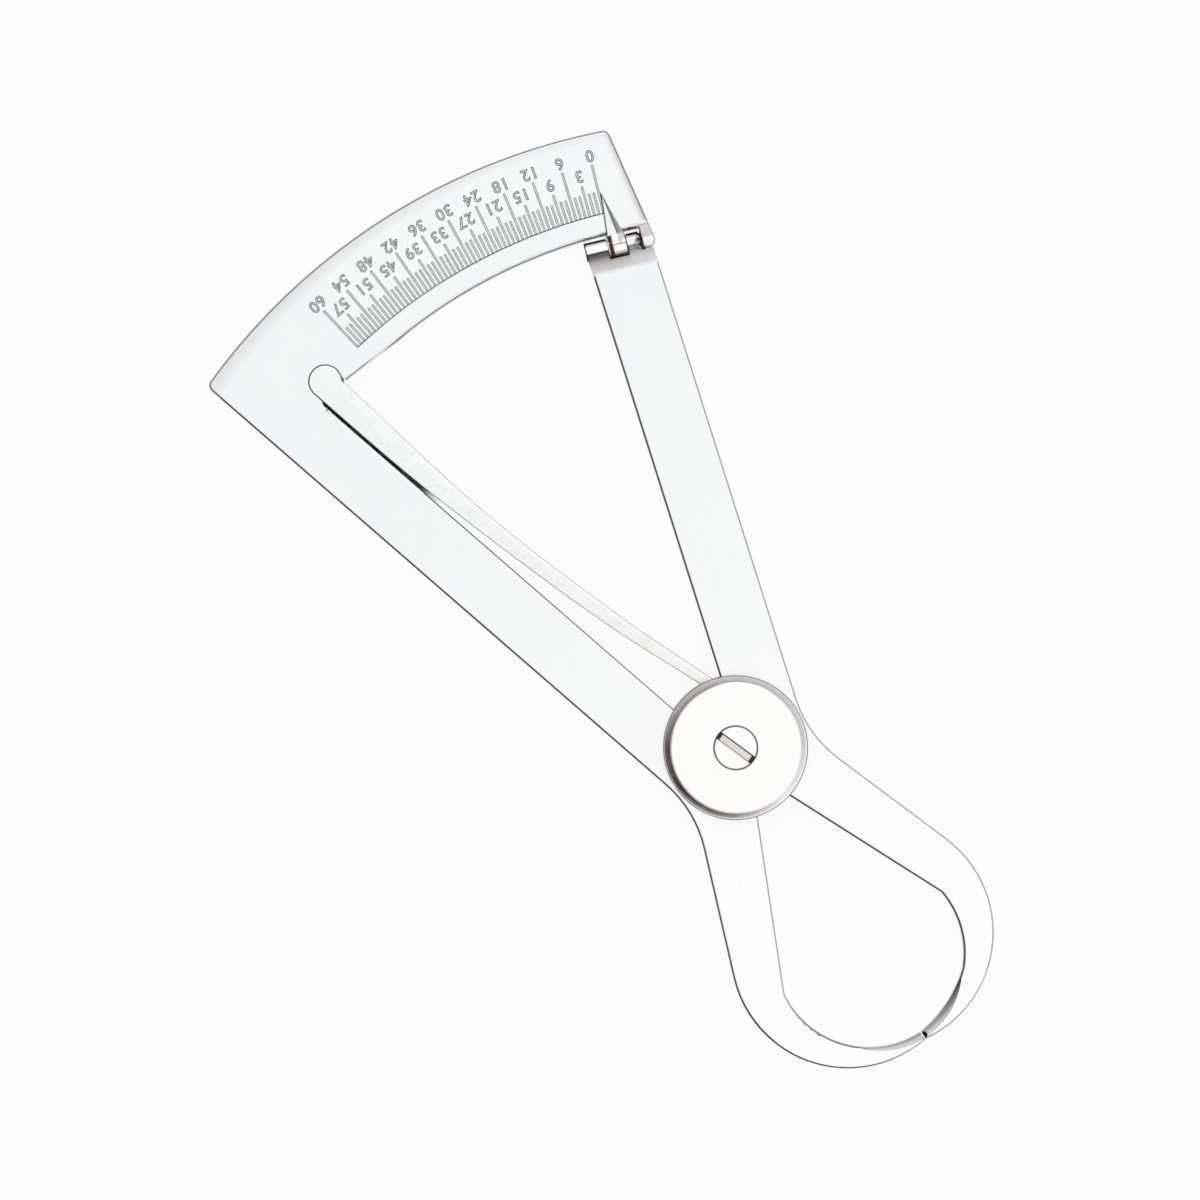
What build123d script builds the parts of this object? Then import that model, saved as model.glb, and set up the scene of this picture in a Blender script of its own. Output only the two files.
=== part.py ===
from build123d import *
from math import cos, hypot, radians, sin, sqrt
import os

# Diamond gauge: two flat plates turn on one pivot, their jaws meet in a bow below it, and the
# pointer on one arm reads a sector scale on the other. Millimetres. The origin is on the pivot
# axis in the rear rest face, +Y runs from the jaw tips through the pivot to the sector, and +Z
# looks out of the graduated face. Angles are measured from +X, anticlockwise.

# Sheet and hub stack, from the rest face up
plate_thickness = 1.5
edge_round = 0.3
spring_edge_round = 0.15
rear_cap_thickness = 0.8
rear_shim_thickness = 0.1
lap_washer_thickness = 0.1
front_washer_thickness = 0.1
front_cap_thickness = 1.5
axial_play = 0.02

# Hub, radii about the pivot axis
cap_radius = 7.23
cap_chamfer = 0.78
cap_chamfer_height = 0.55
rear_cap_chamfer = 0.3
lap_radius = 6.9
lap_clearance = 0.1
post_radius = 2.6
post_seat_depth = 0.3
post_running_clearance = 0.05
washer_radius = 6.4
washer_bore_clearance = 0.1
screw_head_radius = 2.22
screw_head_height = 0.9
screw_head_clearance = 0.05
screw_shank_radius = 1.2
screw_length = 2.6
screw_slot_width = 0.77
screw_slot_depth = 0.45
screw_slot_angle = -69.5
cap_pin_radius = 0.4
cap_pin_circle = 4.9
cap_pin_angles = (215.0, 325.0)
cap_pin_seat_depth = 0.4

# Arms: the angle that each leans from +Y, and how far its edges pass from the pivot
scale_arm_lean = 15.93
scale_arm_outer_offset = 7.45
scale_arm_inner_offset = 1.15
pointer_arm_lean = 15.55
pointer_arm_outer_offset = 7.32
pointer_arm_inner_offset = 0.67

# Jaws: a straight blade leans from -Y and runs into a bow
jaw_inner_lean = 24.5
jaw_outer_lean = 20.1
bow_inner_radius = 9.43
bow_inner_centre_y = -24.6
bow_width = 2.32
bow_outer_radius = bow_inner_radius + bow_width
bow_outer_shift_x = 1.72
bow_outer_shift_y = 1.35
jaw_bite_depth = 0.43
jaw_corner_radius = 1.2
waist_radius = 12.0
tip_gap = 0.1

# The inner front edge of the bow is bevelled towards the tips, and beside its tip the pointer
# arm's jaw is left fuller than the bow's circle
bevel_tip_width = 0.65
bevel_fade_angle = 50.0
bevel_depth = 0.6
jaw_full_depth = 0.22
jaw_full_angle = 48.0

# Sector: its outer arc is centred beside the pivot
sector_inner_radius = 52.87
sector_width = 10.7
sector_outer_radius = sector_inner_radius + sector_width
sector_outer_centre_x = -1.25
sector_straight_angle = 94.5
sector_end_lean = 9.2
sector_corner_radius = 0.75
sector_stop_reach = 2.1
stop_width = 1.155
stop_corner_radius = 0.4

# Graduations, engraved
scale_zero_angle = 70.74
scale_step_angle = 0.4913
scale_steps = 60
scale_base_margin = 2.13
scale_base_radius = sector_inner_radius + scale_base_margin
short_mark_length = 2.25
middle_mark_length = 3.15
long_mark_length = 5.0
mark_width = 0.2
mark_depth = 0.05
scale_line_width = 0.12
steps_per_middle_mark = 3

# Hinge of the pointer at the pointer arm's end, and the pointer
hinge_angle = 70.1
barrel_radius = 0.95
barrel_left = 3.3
barrel_right = 2.25
knuckle_radius = 1.15
knuckle_width = 1.88
knuckle_side_clearance = 0.08
knuckle_round_clearance = 0.12
hinge_pin_radius = 0.45
hinge_pin_clearance = 0.03
barrel_valley_radius = 1.3
barrel_valley_depth = 0.4
stop_clearance = 0.18
needle_root = 1.0
needle_base_width = 1.72
needle_ridge_offset = 0.2
needle_height = 0.5
needle_edge_height = 0.12
needle_lift = 0.08
needle_tip_margin = 0.05
needle_tip_angle = 70.57

# Return spring, and its stations from the head to the hub: the share of the way up from the hub,
# the gap from the arm's edge, and the blade's width
spring_head_radius = 1.65
spring_head_depth = 2.09
spring_head_gap = 0.24
spring_neck_width = 2.8
spring_tip_width = 1.15
spring_stations = (
    (1.0, spring_head_gap, spring_neck_width),
    (0.75, 0.27, 2.37),
    (0.544, 0.72, 1.8),
    (0.356, 1.38, 1.6),
    (0.148, 2.48, 1.37),
    (0.0, 3.6, spring_tip_width),
)
spring_tip_reach = 2.8
spring_head_clearance = 0.06
spring_mouth_clearance = 0.3
spring_shoulder_step = 0.2
spring_slot_clearance = 0.3
spring_sweep = 32.0

# Worked out from the sizes above
plate_rear = rear_cap_thickness + rear_shim_thickness
plate_front = plate_rear + plate_thickness
boss_thickness = (plate_thickness - lap_washer_thickness) / 2
lap_rear = plate_rear + boss_thickness
lap_front = lap_rear + lap_washer_thickness
front_cap_rear = plate_front + front_washer_thickness + axial_play
front_cap_front = front_cap_rear + front_cap_thickness
washer_bore_radius = post_radius + washer_bore_clearance
scale_arm_angle = 90 + scale_arm_lean
hinge_height = plate_rear + plate_thickness / 2
hinge_radius = sector_inner_radius - knuckle_radius - knuckle_round_clearance
spring_head_along = sector_inner_radius + spring_head_depth
spring_length = spring_head_along - lap_radius
needle_tip_radius = scale_base_radius + short_mark_length - needle_tip_margin
reach = 4 * sector_outer_radius


def direction(angle):
    """Unit vector at an angle from +X in the plane of the plates."""
    return Vector(cos(radians(angle)), sin(radians(angle)))


def line(angle, offset):
    """Frame of an edge: X runs outward from the pivot at the angle, Y lies to its left."""
    return Location(direction(angle + 90) * offset, (0, 0, angle))


def crossing(first, second):
    """Point where the X axes of two edge frames cross, in the plane of the plates."""
    p, q = first.position, second.position
    u = (first * Pos(1, 0, 0)).position - p
    v = (second * Pos(1, 0, 0)).position - q
    turn = u.X * v.Y - u.Y * v.X
    along = ((q.X - p.X) * v.Y - (q.Y - p.Y) * v.X) / turn
    return p + u * along


def flat(*points):
    """Flat face with straight sides through the points."""
    return make_face(Polyline(*[(p.X, p.Y) for p in points], close=True))


def disc(radius, x=0.0, y=0.0):
    return Pos(x, y) * Circle(radius)


def slab(outline, bottom, top):
    """The outline as a solid between two heights."""
    return extrude(Pos(0, 0, bottom) * outline, amount=top - bottom)


def ring(bore, rim, bottom, top):
    return slab(Circle(rim) - Circle(bore), bottom, top)


def rounded_front(plate, radius):
    """The flat piece with the outer edges of its front face rounded."""
    return fillet(plate.faces().sort_by(Axis.Z)[-1].outer_wire().edges(), radius)


def nearest_fillet(outline, point, radius):
    """Rounds the corner of the outline that lies nearest to the point."""
    corner = outline.vertices().sort_by_distance((point.X, point.Y, 0))[0]
    return fillet(corner, radius)


# The jaw's edges as they lie to the right of the pivot. The scale plate's jaw is their mirror image.
inner_centre = Vector(0, bow_inner_centre_y)
outer_centre = inner_centre + Vector(bow_outer_shift_x, bow_outer_shift_y)
jaw_outer_angle = jaw_outer_lean - 90
jaw_inner_angle = jaw_inner_lean - 90
jaw_outer_left = direction(jaw_outer_angle + 90)
jaw_inner_left = direction(jaw_inner_angle + 90)
jaw_outer_edge = line(jaw_outer_angle, outer_centre.dot(jaw_outer_left) + bow_outer_radius)
jaw_inner_edge = line(
    jaw_inner_angle, inner_centre.dot(jaw_inner_left) + bow_inner_radius - jaw_bite_depth
)


def jaw_corner():
    """Point where the jaw's straight inner edge runs into the bow's inner circle."""
    u = direction(jaw_inner_angle)
    start = jaw_inner_edge.position - inner_centre
    middle = -start.dot(u)
    half = sqrt(bow_inner_radius**2 - (start + u * middle).length ** 2)
    return jaw_inner_edge.position + u * (middle + half)


def side_outline(lean, outer_offset, inner_offset, arm_end):
    """One plate's arm, jaw and bow, as they lie to the right of the pivot."""
    outer_edge = line(90 - lean, -outer_offset)
    inner_edge = line(90 - lean, -inner_offset)
    waist = crossing(outer_edge, jaw_outer_edge)
    corner = jaw_corner()
    straights = flat(
        waist,
        (outer_edge * Pos(arm_end, 0, 0)).position,
        (inner_edge * Pos(arm_end, 0, 0)).position,
        inner_edge.position,
        jaw_inner_edge.position,
        corner,
        outer_centre + jaw_outer_left * bow_outer_radius,
    )
    straights = nearest_fillet(straights, waist, waist_radius)
    right_half = Pos(tip_gap / 2, 0) * Rectangle(reach, reach, align=(Align.MIN, Align.CENTER))
    bow = disc(bow_outer_radius, outer_centre.X, outer_centre.Y) & right_half
    above = Vector(-reach, inner_centre.Y), Vector(-reach, 0)
    throat = flat(jaw_inner_edge.position, corner, inner_centre, *above)
    bow = bow - throat - disc(bow_inner_radius, 0, bow_inner_centre_y)
    return nearest_fillet(straights + bow, corner, jaw_corner_radius)


def bevel_cutter():
    """Cone that bevels the bow's inner front edge, deepest at the tips and fading along the bow."""
    shift = bevel_tip_width / (1 - cos(radians(bevel_fade_angle)))
    front_radius = bow_inner_radius + bevel_tip_width - shift
    slope = bevel_tip_width / bevel_depth
    spare = 1.0
    cone = Cone(
        front_radius - 2 * bevel_tip_width,
        front_radius + slope * spare,
        2 * bevel_depth + spare,
        align=(Align.CENTER, Align.CENTER, Align.MAX),
    )
    return Pos(0, bow_inner_centre_y - shift, plate_front + spare) * cone


def full_crescent():
    """The sliver that the pointer arm's jaw keeps inside the bow's circle beside its tip."""
    half = radians(jaw_full_angle / 2)
    chord = bow_inner_radius * sin(half)
    rise = bow_inner_radius * (1 - cos(half)) - jaw_full_depth
    flatter_radius = (chord**2 + rise**2) / (2 * rise)
    out = bow_inner_radius * cos(half) + rise - flatter_radius
    centre = inner_centre + Vector(sin(half), -cos(half)) * out
    right_half = Pos(tip_gap / 2, 0) * Rectangle(reach, reach, align=(Align.MIN, Align.CENTER))
    sliver = disc(bow_inner_radius, 0, bow_inner_centre_y) - disc(flatter_radius, centre.X, centre.Y)
    return sliver & right_half


def beside_arm(along, gap):
    """Point that lies a gap inward of the scale arm's inner edge."""
    return (line(scale_arm_angle, scale_arm_inner_offset) * Pos(along, -gap, 0)).position


def spring_edge(share):
    """The stations of one edge of the blade: share 0 is the edge beside the scale arm, 1 the other."""
    return [
        beside_arm(lap_radius + way * spring_length, gap + share * width)
        for way, gap, width in spring_stations
    ]


def spring_head_centre():
    return beside_arm(spring_head_along, spring_head_gap + spring_head_radius)


def spring_tip_frame():
    """Frame on the blade's middle line at its last station, X pointing on towards its tip."""
    middle = spring_edge(0.5)
    return Plane(origin=middle[-1], x_dir=middle[-1] - middle[-2], z_dir=(0, 0, 1)).location


def spring_outline():
    half = spring_tip_width / 2
    tip = spring_tip_frame()
    head_run = direction(scale_arm_angle + 180)
    tip_run = (tip * Pos(1, 0, 0)).position - tip.position
    ends = [(tip * Pos(spring_tip_reach - half, side, 0)).position for side in (-half, half)]
    left = Spline([*spring_edge(0), ends[0]], tangents=[head_run, tip_run])
    right = Spline([*spring_edge(1), ends[1]], tangents=[head_run, tip_run])
    end = ThreePointArc(left @ 1, (tip * Pos(spring_tip_reach, 0, 0)).position, right @ 1)
    blade = make_face(left + end + right + Line(right @ 0, left @ 0))
    head = spring_head_centre()
    return blade + disc(spring_head_radius, head.X, head.Y)


def spring_notch():
    """The sector's notch round the spring's head, open towards the blade."""
    head = spring_head_centre()
    near = spring_head_gap - spring_head_clearance
    far = spring_head_gap + spring_neck_width + spring_mouth_clearance
    channel = flat(
        beside_arm(spring_head_along, near),
        beside_arm(spring_head_along, far),
        beside_arm(0, far),
        beside_arm(0, near),
    )
    return disc(spring_head_radius + spring_head_clearance, head.X, head.Y) + channel


def sector_outline():
    """The graduated sector, with the stop that reaches down beside the pointer arm's end."""
    left_edge = line(scale_arm_angle, scale_arm_outer_offset)
    end = hinge_frame() * Pos(
        barrel_right + stop_clearance + stop_width, sector_inner_radius - hinge_radius, 0
    )
    right_edge = Location(end.position, (0, 0, 90 - sector_end_lean))
    wedge = flat(
        (left_edge * Pos(sector_inner_radius / 2, 0, 0)).position,
        (right_edge * Pos(-sector_inner_radius / 2, 0, 0)).position,
        (right_edge * Pos(reach, 0, 0)).position,
        (left_edge * Pos(reach, 0, 0)).position,
    )
    outer = disc(sector_outer_radius, sector_outer_centre_x)
    arm_edge = line(scale_arm_angle, scale_arm_inner_offset)
    straight_start = direction(sector_straight_angle) * sector_inner_radius
    straight_edge = Location(straight_start, (0, 0, sector_straight_angle + 90))
    straight_end = crossing(straight_edge, arm_edge)
    straight = flat(Vector(0, 0), straight_start, straight_end, arm_edge.position)
    sector = (wedge & outer) - disc(sector_inner_radius) - straight
    beside_barrel = hinge_frame() * Pos(barrel_right + stop_clearance, -hinge_radius) * Rectangle(
        sector_outer_radius, sector_outer_radius, align=(Align.MIN, Align.MIN)
    )
    stop = (beside_barrel & wedge & outer) - disc(sector_inner_radius - sector_stop_reach)
    corners = (
        crossing(left_edge, line(90, 0)) + direction(scale_arm_angle) * (2 * sector_outer_radius),
        right_edge.position + direction(90 - sector_end_lean) * sector_outer_radius,
        right_edge.position - direction(90 - sector_end_lean) * sector_stop_reach,
    )
    outline = sector + stop
    for corner in corners:
        outline = nearest_fillet(outline, corner, sector_corner_radius)
    beside_hinge = hinge_frame() * Pos(barrel_right + stop_clearance, -sector_stop_reach, 0)
    return nearest_fillet(outline, beside_hinge.position, stop_corner_radius)


def hinge_frame():
    """Frame of the pointer's hinge: X along the pin, to the right, Y outward from the pivot."""
    centre = direction(hinge_angle) * hinge_radius
    return Location((centre.X, centre.Y, 0), (0, 0, hinge_angle - 90))


def barrel(radius, left, right):
    """Cylinder along the pointer's hinge axis, from left of its middle to right of it."""
    axis = hinge_frame() * Location((0, 0, hinge_height), (0, 90, 0))
    return axis * Pos(0, 0, -left) * Cylinder(
        radius, left + right, align=(Align.CENTER, Align.CENTER, Align.MIN)
    )


def graduations():
    """The engraved marks and the arc that they stand on."""
    marks = Sketch()
    for step in range(scale_steps + 1):
        if step % (2 * steps_per_middle_mark) == 0:
            length = long_mark_length
        elif step % steps_per_middle_mark == 0:
            length = middle_mark_length
        else:
            length = short_mark_length
        mark = Pos(scale_base_radius, 0) * Rectangle(
            length, mark_width, align=(Align.MIN, Align.CENTER)
        )
        marks += Rot(0, 0, scale_zero_angle + step * scale_step_angle) * mark
    sweep = scale_steps * scale_step_angle
    half = scale_line_width / 2
    outer_arc = CenterArc((0, 0), scale_base_radius + half, scale_zero_angle, sweep)
    inner_arc = CenterArc((0, 0), scale_base_radius - half, scale_zero_angle, sweep)
    ends = Line(outer_arc @ 0, inner_arc @ 0) + Line(outer_arc @ 1, inner_arc @ 1)
    return marks + make_face(outer_arc + inner_arc + ends)


def cap_pin_places():
    return [Rot(0, 0, angle) * Pos(cap_pin_circle, 0) for angle in cap_pin_angles]


def scale_plate():
    arm_end = (sector_inner_radius + sector_outer_radius) / 2
    side = side_outline(scale_arm_lean, scale_arm_outer_offset, scale_arm_inner_offset, arm_end)
    outline = mirror(side, Plane.YZ) + sector_outline()
    outline = nearest_fillet(outline, beside_arm(sector_inner_radius, 0), sector_corner_radius)
    plate = rounded_front(slab(outline, plate_rear, plate_front), edge_round)
    notch = spring_notch() - disc(sector_inner_radius - spring_shoulder_step)
    plate -= slab(notch, plate_rear, plate_front)
    plate -= bevel_cutter()
    lap_room = slab(Circle(lap_radius + lap_clearance), lap_rear, plate_front)
    boss = slab(Circle(lap_radius), plate_rear, lap_rear)
    plate = plate - lap_room + boss
    plate -= slab(Circle(post_radius), plate_rear, plate_front)
    plate -= slab(tip_window(), plate_rear, lap_rear)
    for place in cap_pin_places():
        plate -= slab(place * Circle(cap_pin_radius), plate_rear, lap_rear)
    return plate - slab(graduations(), plate_front - mark_depth, plate_front)


def tip_window():
    """The room in the scale plate's boss that the spring's tip sweeps as the pointer arm swings."""
    tip = spring_tip_frame()
    half = spring_tip_width / 2 + spring_slot_clearance
    end = (tip * Pos(spring_tip_reach, 0, 0)).position
    inner = hypot(end.X, end.Y) - spring_slot_clearance
    start = (tip * Pos(spring_tip_reach, half, 0)).position * 2
    stop = (tip * Pos(0, -half, 0)).position.rotate(Axis.Z, spring_sweep) * 2
    wedge = flat(Vector(0, 0), start, start + stop, stop)
    return (wedge & Circle(lap_radius + lap_clearance)) - Circle(inner)


def pointer_arm():
    outline = side_outline(
        pointer_arm_lean, pointer_arm_outer_offset, pointer_arm_inner_offset, hinge_radius
    )
    outline += full_crescent()
    frame = hinge_frame()
    outline -= frame * Rectangle(reach, sector_inner_radius, align=(Align.CENTER, Align.MIN))
    beside_stop = sector_inner_radius - sector_stop_reach - stop_clearance - hinge_radius
    outline -= frame * Pos(barrel_right, beside_stop) * Rectangle(
        reach, reach, align=(Align.MIN, Align.MIN)
    )
    arm = rounded_front(slab(outline, plate_rear, plate_front), edge_round)
    arm -= bevel_cutter()
    lap_room = slab(Circle(lap_radius + lap_clearance), plate_rear, lap_front)
    boss = slab(Circle(lap_radius), lap_front, plate_front)
    arm = arm - lap_room + boss
    arm -= slab(Circle(post_radius + post_running_clearance), plate_rear, plate_front)
    arm -= slab(tip_slot(), lap_front, plate_front)
    valley_axis = frame * Location(
        (0, -barrel_radius - barrel_valley_depth, plate_front + barrel_valley_radius - barrel_valley_depth),
        (0, 90, 0),
    )
    arm -= valley_axis * Cylinder(barrel_valley_radius, reach)
    arm += barrel(barrel_radius, barrel_left, barrel_right)
    half_slot = knuckle_width / 2 + knuckle_side_clearance
    arm -= barrel(knuckle_radius + knuckle_round_clearance, half_slot, half_slot)
    return arm - barrel(hinge_pin_radius, barrel_left, barrel_right)


def tip_slot():
    """The slot of the pointer arm's boss that carries the spring's tip along."""
    width = spring_tip_width + 2 * spring_slot_clearance
    tip = spring_tip_frame()
    slot = tip * Pos(-lap_radius, 0) * Rectangle(
        lap_radius + spring_tip_reach - width / 2 + spring_slot_clearance,
        width,
        align=(Align.MIN, Align.CENTER),
    )
    end = (tip * Pos(spring_tip_reach - width / 2 + spring_slot_clearance, 0, 0)).position
    return slot + disc(width / 2, end.X, end.Y)


def pointer_pin():
    return barrel(hinge_pin_radius, barrel_left, barrel_right)


def pointer():
    """The needle, ridged along its front, and the knuckle that carries it."""
    half = needle_base_width / 2
    low = plate_front + needle_lift
    outline = Polyline(
        (-half, 0),
        (half, 0),
        (half, needle_edge_height),
        (needle_ridge_offset, needle_height),
        (-half, needle_edge_height),
        close=True,
    )
    section = (hinge_frame() * Location((0, needle_root, low), (90, 0, 0)) * make_face(outline)).face()
    tip = direction(needle_tip_angle) * needle_tip_radius
    needle = loft([section, Vertex(tip.X, tip.Y, low)], ruled=True)
    strip = extrude(section, amount=needle_root)
    knuckle = barrel(knuckle_radius, knuckle_width / 2, knuckle_width / 2)
    bore = barrel(hinge_pin_radius + hinge_pin_clearance, knuckle_width / 2, knuckle_width / 2)
    return needle + strip + knuckle - bore


def return_spring():
    return rounded_front(slab(spring_outline(), plate_rear, plate_front), spring_edge_round)


def rear_cap():
    cap = slab(Circle(cap_radius), 0, rear_cap_thickness)
    rim = cap.edges().filter_by(GeomType.CIRCLE).sort_by(Axis.Z)[0]
    cap = chamfer(rim, rear_cap_chamfer)
    cap -= slab(Circle(post_radius), rear_cap_thickness - post_seat_depth, rear_cap_thickness)
    for place in cap_pin_places():
        cap -= slab(place * Circle(cap_pin_radius), rear_cap_thickness - cap_pin_seat_depth, rear_cap_thickness)
    return cap


def cap_pins():
    bottom = rear_cap_thickness - cap_pin_seat_depth
    return Compound([slab(place * Circle(cap_pin_radius), bottom, lap_rear) for place in cap_pin_places()])


def rear_shim():
    shim = ring(post_radius, washer_radius, rear_cap_thickness, plate_rear)
    for place in cap_pin_places():
        shim -= slab(place * Circle(cap_pin_radius), rear_cap_thickness, plate_rear)
    return shim


def lap_washer():
    tip = (spring_tip_frame() * Pos(spring_tip_reach, 0, 0)).position
    rim = hypot(tip.X, tip.Y) - spring_slot_clearance
    return ring(washer_bore_radius, rim, lap_rear, lap_front)


def front_washer():
    return ring(washer_bore_radius, washer_radius, plate_front, plate_front + front_washer_thickness)


def pivot_post():
    post = slab(Circle(post_radius), rear_cap_thickness - post_seat_depth, front_cap_rear)
    screw_end = front_cap_front - screw_head_height - screw_length
    return post - slab(Circle(screw_shank_radius), screw_end, front_cap_rear)


def front_cap():
    cap = slab(Circle(cap_radius), front_cap_rear, front_cap_front)
    rim = cap.edges().filter_by(GeomType.CIRCLE).sort_by(Axis.Z)[-1]
    cap = chamfer(rim, cap_chamfer_height, cap_chamfer, reference=cap.faces().sort_by(Axis.Z)[-1])
    head_seat = front_cap_front - screw_head_height
    cap -= slab(Circle(screw_head_radius + screw_head_clearance), head_seat, front_cap_front)
    return cap - slab(Circle(screw_shank_radius), front_cap_rear, head_seat)


def pivot_screw():
    head_seat = front_cap_front - screw_head_height
    head = slab(Circle(screw_head_radius), head_seat, front_cap_front)
    slot = Rot(0, 0, screw_slot_angle) * Rectangle(2 * cap_radius, screw_slot_width)
    head -= slab(slot, front_cap_front - screw_slot_depth, front_cap_front)
    return head + slab(Circle(screw_shank_radius), head_seat - screw_length, head_seat)


nodes = (
    scale_plate,
    pointer_arm,
    return_spring,
    pointer,
    pointer_pin,
    front_cap,
    rear_cap,
    pivot_post,
    pivot_screw,
    front_washer,
    lap_washer,
    rear_shim,
    cap_pins,
)

os.makedirs("parts", exist_ok=True)
for node in nodes:
    export_step(node(), f"parts/{node.__name__}.step")
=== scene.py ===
from math import cos, pi, radians, sin

import bmesh
import bpy
from bpy.props import BoolProperty, FloatProperty, FloatVectorProperty, PointerProperty
from mathutils import Matrix, Vector


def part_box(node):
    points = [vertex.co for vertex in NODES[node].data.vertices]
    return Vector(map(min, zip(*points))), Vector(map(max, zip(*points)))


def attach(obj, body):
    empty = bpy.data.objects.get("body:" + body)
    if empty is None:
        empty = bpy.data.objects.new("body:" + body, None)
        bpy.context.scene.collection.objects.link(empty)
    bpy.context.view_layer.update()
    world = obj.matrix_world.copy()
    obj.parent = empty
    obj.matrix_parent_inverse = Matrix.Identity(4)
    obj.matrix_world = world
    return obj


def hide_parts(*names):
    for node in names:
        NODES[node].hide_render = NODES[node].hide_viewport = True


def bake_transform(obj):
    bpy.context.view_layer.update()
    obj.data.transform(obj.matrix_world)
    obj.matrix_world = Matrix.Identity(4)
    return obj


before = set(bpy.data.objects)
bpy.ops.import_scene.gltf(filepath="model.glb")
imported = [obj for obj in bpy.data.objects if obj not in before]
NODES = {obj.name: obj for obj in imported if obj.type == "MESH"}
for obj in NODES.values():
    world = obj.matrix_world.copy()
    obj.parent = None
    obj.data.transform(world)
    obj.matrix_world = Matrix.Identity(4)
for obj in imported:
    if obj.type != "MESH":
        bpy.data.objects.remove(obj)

bl_info = {
    "name": "Diamond gauge",
    "version": (1, 0, 0),
    "blender": (4, 5, 0),
    "location": "View3D > Sidebar > Gauge",
    "description": "Builds the looks of a pocket diamond gauge round its packed solids",
    "category": "Object",
}

# Lengths are in metres and angles in degrees, unless a comment says otherwise
MM = 0.001
PIVOT = Vector((0.0, 0.0, 0.0))
PLATE_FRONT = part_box("scale_plate")[1].z
CAP_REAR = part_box("front_cap")[0].z
CAP_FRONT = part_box("front_cap")[1].z
CAP_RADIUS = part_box("front_cap")[1].x
SCREW_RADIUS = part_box("pivot_screw")[1].x

# Points of a mesh that are nearer than this are the same point, how near a point is to lie on a
# cut, and how near to lie on a turned ring
MERGE_DISTANCE = 0.0005 * MM
CUT_TOLERANCE = 0.0002 * MM
RING_TOLERANCE = 0.001 * MM

# Where the scale's marks and numerals stand on the sector: the same sizes as in the part's source
SCALE_ZERO_ANGLE = 70.74
SCALE_STEP_ANGLE = 0.4913
SCALE_STEPS = 60
LONG_MARK_EVERY = 6
NUMERAL_EVERY = 3
SCALE_BASE_RADIUS = 55.0 * MM
SHORT_MARK = 2.25 * MM
MIDDLE_MARK = 3.15 * MM
LONG_MARK = 5.0 * MM
INNER_NUMERAL_RADIUS = 59.2 * MM
OUTER_NUMERAL_RADIUS = 60.95 * MM

# How far the marks' lines stand off the plate. A digit's height in a font of size 1, the space
# that it takes in its word, and how flat its round strokes are pressed on the plate.
MARK_LIFT = 0.004 * MM
DIGIT_HEIGHT = 0.72
DIGIT_SPACING = 1.08
STROKE_FLATNESS = 0.15

# The spring's blade runs at this angle from the pivot, and in use bends from the scale plate's
# body to the pointer arm's. It is divided at each of these millimetres of its run from the pivot.
SPRING_RUN_ANGLE = 105.93
SPRING_DIVISIONS = range(2, 54)

# The front cap's hole, the seat under its face for the screw's head, the gap round the head, the
# seat's broken edge, and how far the two ends of the cap's shoulder are softened
CAP_HOLE_RADIUS = 1.2 * MM
SEAT_DEPTH = 0.9 * MM
HEAD_GAP = 0.02 * MM
SEAT_CHAMFER = 0.02 * MM
SHOULDER_SOFTENING = 0.16 * MM
CAP_STEPS = 192

# The edges of the screw's head: sharper than this angle, and no deeper than this under its face.
# Faces of the head within the flat angle of each other are one face.
SHARP_ANGLE = 40
FLAT_ANGLE = 1
HEAD_EDGE_DEPTH = 0.1 * MM

# Places that the finishes follow, and how far the +X axis is turned to run along each
BOW_CENTRE = Vector((0.0, -24.6, 0.0)) * MM
JAW_TIP = Vector((0.16, -34.42, 0.0)) * MM
SLIT = Vector((-13.53, 44.56, 0.0)) * MM
SLIT_TURN = 15.3
SPRING_HEAD = Vector((-14.39, 53.1, 0.0)) * MM
HINGE = Vector((17.563, 48.519, 0.0)) * MM
HINGE_TURN = -19.9
NEEDLE_EDGE = Vector((17.095, 49.752, 0.0)) * MM
NEEDLE_EDGE_TURN = -24.8
NEEDLE_RIDGE = Vector((18.091, 49.391, 0.0)) * MM
NEEDLE_RIDGE_TURN = -11.6
SCREW_SLOT_TURN = -69.5

# The radius of the sector's lower edge, in millimetres as the finishes measure
SECTOR_EDGE = 52.87

# The side of each sheet where the painted shade on its edge is darkest and widest, the direction
# that the sheets were brushed in, and the side of the cap where its painted shade line is darkest
SHADED_SIDE_ANGLE = 192.0
BRUSHED_ANGLE = 62.0
CAP_SHADED_SIDE_ANGLE = 132.0

# How fast two lines of the finishes slant: the inner side of the painted highlight on the jaws'
# rounding, which widens along the bow, and the sector's right end, which leans away from the hinge
HIGHLIGHT_EDGE_SLOPE = 0.054
SECTOR_END_SLOPE = 0.18

# The photograph's frame: its middle, its width and the angle of its upward side from the +X axis.
# The camera's lens and sensor are in millimetres.
PICTURE_CENTRE = Vector((-3.29, 19.73, 0.0)) * MM
PICTURE_WIDTH = 120 * MM
PICTURE_UP_ANGLE = 56.9
LENS = 135
SENSOR_WIDTH = 36

# The stage round the object
FLOOR_REACH = 3.0
FLOOR_DROP = 0.01 * MM
KEY_LAMP_PLACE = Vector((0.28, 0.30, 0.42))
KEY_LAMP_AIM = Vector((0.0, 0.02, 0.0))
KEY_LAMP_SIDE = 0.35
CURTAIN_RADIUS = 0.4
CURTAIN_FOOT = 0.085
CURTAIN_HEIGHT = 0.143
CURTAIN_STEPS = 96
CURTAIN_TURN = PICTURE_UP_ANGLE + 45

# How far round a point of the floor the object is looked for, to tell a narrow gap
GAP_REACH = 6 * MM

# The colour sockets of a Mix node: its two colours, and its result
MIX_BELOW = 6
MIX_ABOVE = 7
MIX_RESULT = 2


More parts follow.
